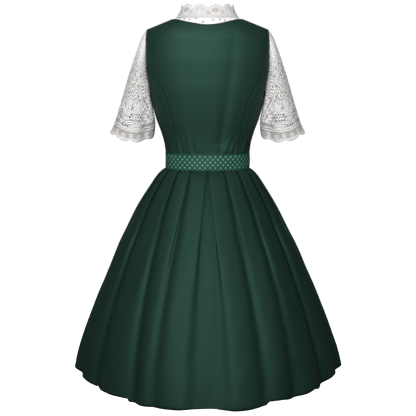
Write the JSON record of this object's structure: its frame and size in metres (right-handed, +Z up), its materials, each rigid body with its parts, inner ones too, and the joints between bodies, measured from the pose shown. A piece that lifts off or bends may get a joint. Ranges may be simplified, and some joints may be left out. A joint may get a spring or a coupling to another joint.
{
  "type": "dirndl dress",
  "caption": "Dirndl set filled out as if worn: fitted bodice with pleated knee-length skirt, lace blouse with short sleeves and stand-up collar, ribbon waistband and apron.",
  "frame": {"origin": "on the level of the shoulders, midway between the two points where the shoulder seams meet the neck", "axes": "+Z up the standing garment, -Y out of its front, +X to the wearer's left"},
  "size_m": [0.841, 0.8148, 1.126],
  "materials": {
    "satin_green": "satin",
    "ribbon_green": "satin",
    "lace_white": "matte",
    "cotton_white": "matte",
    "apron_green": "satin"
  },
  "bodies": {
    "root": {"apron_panel": "apron_green", "blouse_back": "cotton_white", "blouse_front": "cotton_white", "bodice_back": "satin_green", "bodice_front_left": "satin_green", "bodice_front_right": "satin_green", "bodice_side_back_left": "satin_green", "bodice_side_back_right": "satin_green", "collar": "lace_white", "skirt_back": "satin_green", "skirt_front": "satin_green", "skirt_side_left": "satin_green", "skirt_side_right": "satin_green", "sleeve_left_back": "lace_white", "sleeve_left_front": "lace_white", "sleeve_right_back": "lace_white", "sleeve_right_front": "lace_white", "sleeve_trim_left_back": "lace_white", "sleeve_trim_left_front": "lace_white", "sleeve_trim_right_back": "lace_white", "sleeve_trim_right_front": "lace_white", "waist_ribbon": "ribbon_green"}
  },
  "joints": []
}
